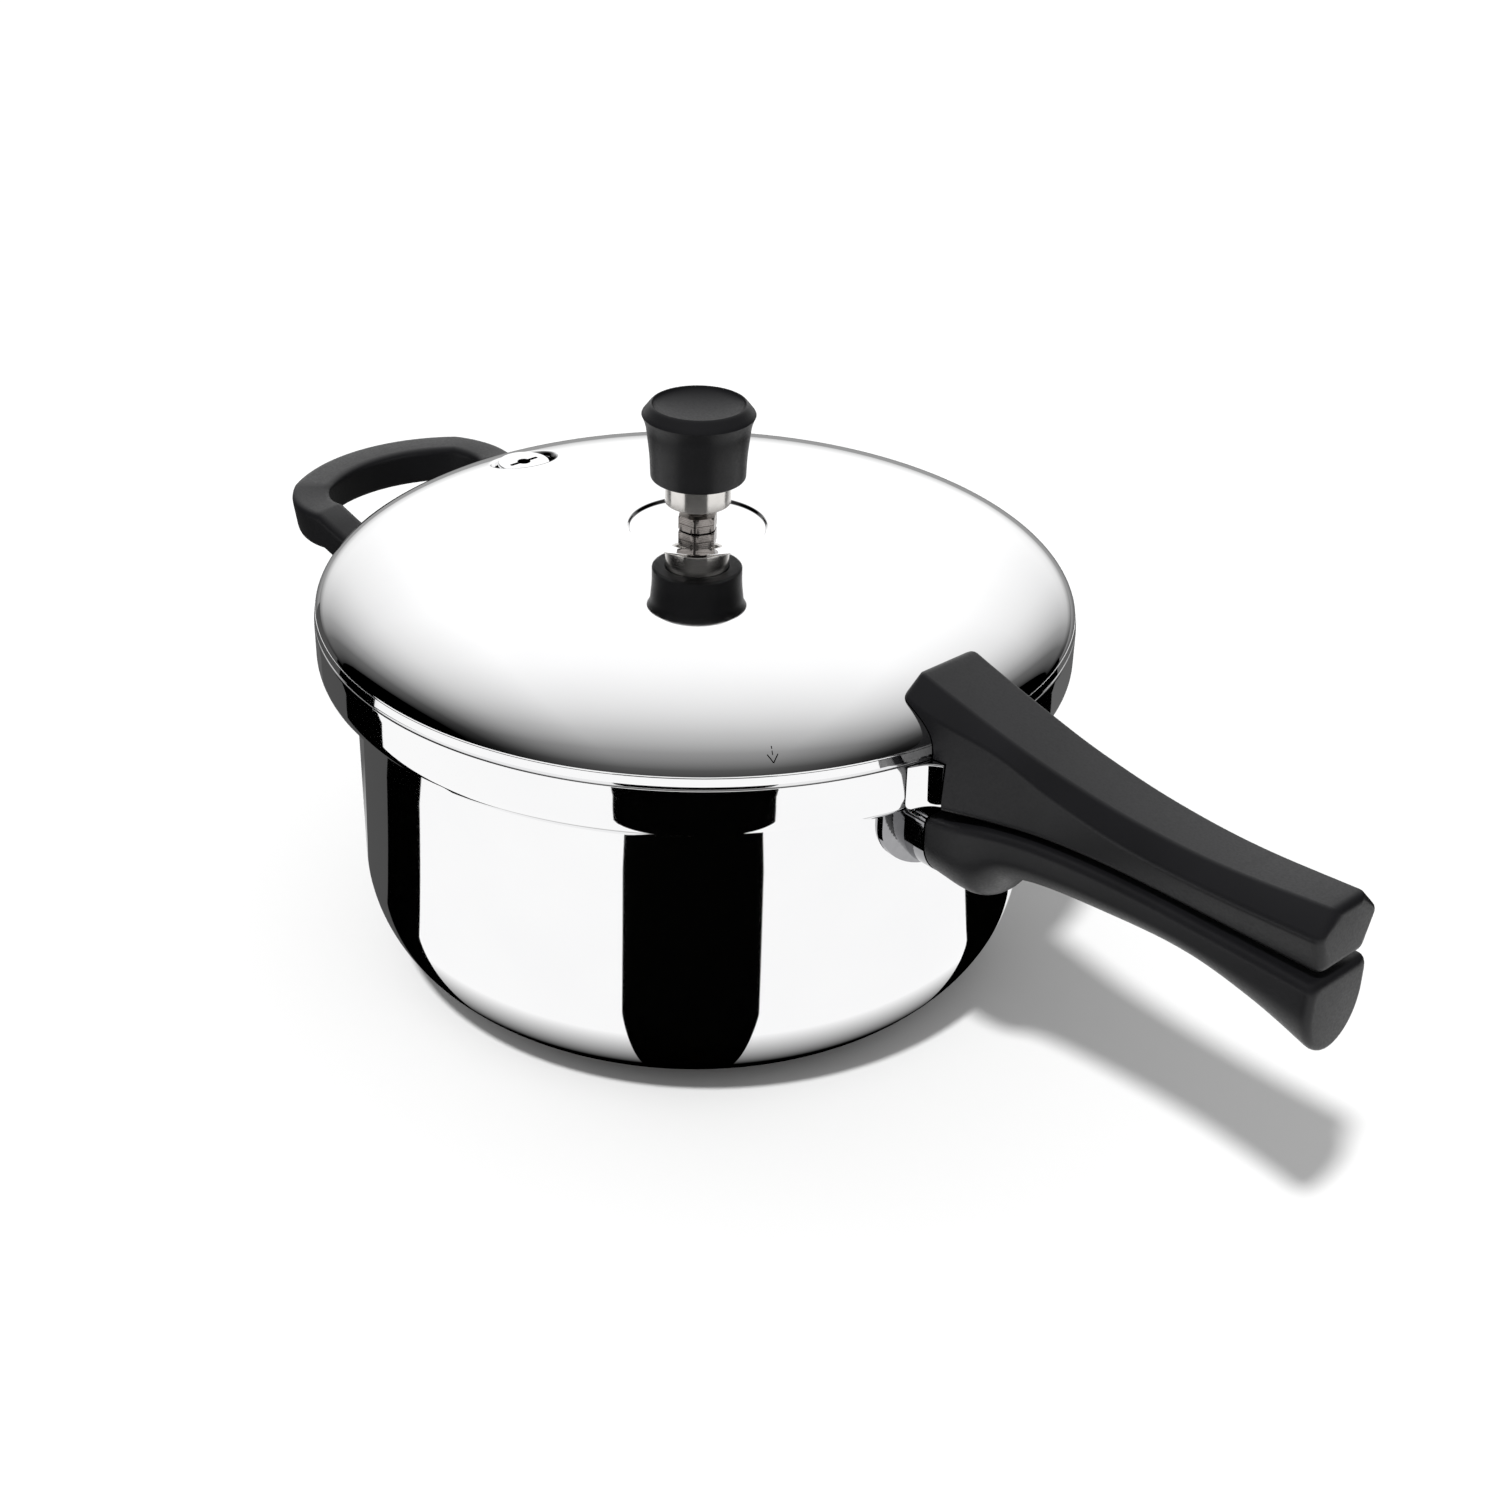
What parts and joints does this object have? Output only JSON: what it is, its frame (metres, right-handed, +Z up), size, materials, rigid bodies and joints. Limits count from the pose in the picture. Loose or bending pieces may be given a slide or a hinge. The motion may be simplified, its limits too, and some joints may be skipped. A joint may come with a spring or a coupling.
{
  "type": "stovetop pressure cooker",
  "caption": "Polished steel pressure cooker with a bayonet outer lid, paired long black handles, a loop helper handle and a weighted steam regulator.",
  "frame": {"origin": "centre of the pot's base, on the surface that it stands on", "axes": "+Z up along the pot's axis, +X along the two long handles, away from the pot"},
  "size_m": [0.4014, 0.221, 0.1747],
  "materials": {
    "polished_stainless": "mirror polished",
    "turned_stainless": "fine turned",
    "screw_steel": "zinc plated",
    "phenolic": "moulded, satin",
    "silicone": "moulded, matt",
    "brass": "turned",
    "fusible_alloy": "cast"
  },
  "bodies": {
    "pot": {"pot_body": "polished_stainless", "pot_bracket": "polished_stainless", "pot_handle": "phenolic", "pot_handle_screw": "screw_steel", "pot_handle_washer": "screw_steel", "helper_bracket": "polished_stainless", "helper_handle": "phenolic", "helper_screw_left": "screw_steel", "helper_screw_right": "screw_steel"},
    "gasket_ring": {"gasket": "silicone"},
    "lid": {"lid_shell": "polished_stainless", "lid_bracket": "polished_stainless", "lid_handle": "phenolic", "lid_handle_screw_front": "screw_steel", "lid_handle_screw_rear": "screw_steel", "vent_pipe": "turned_stainless", "vent_seal": "silicone", "vent_nut": "turned_stainless", "safety_valve_body": "turned_stainless", "fusible_plug": "fusible_alloy", "safety_valve_seal": "silicone", "safety_valve_nut": "turned_stainless"},
    "clip": {"weight_clip": "turned_stainless"},
    "weight": {"weight_sleeve": "turned_stainless", "weight_pin": "turned_stainless", "weight_insert": "brass", "weight_knob": "phenolic"}
  },
  "joints": [
    {"name": "lid_lift", "type": "slide", "parent": "pot", "child": "gasket_ring", "axis": [0, 0, 1], "range_m": [0, 0.15]},
    {"name": "lid_turn", "type": "hinge", "parent": "gasket_ring", "child": "lid", "pos_m": [0, 0, 0.107], "axis": [0, 0, 1], "range_deg": [0, 30]},
    {"name": "regulator_lift", "type": "slide", "parent": "lid", "child": "clip", "axis": [0, 0, 1], "range_m": [0, 0.035]},
    {"name": "regulator_spin", "type": "hinge", "parent": "clip", "child": "weight", "pos_m": [0, 0, 0.15], "axis": [0, 0, 1], "continuous": true}
  ]
}
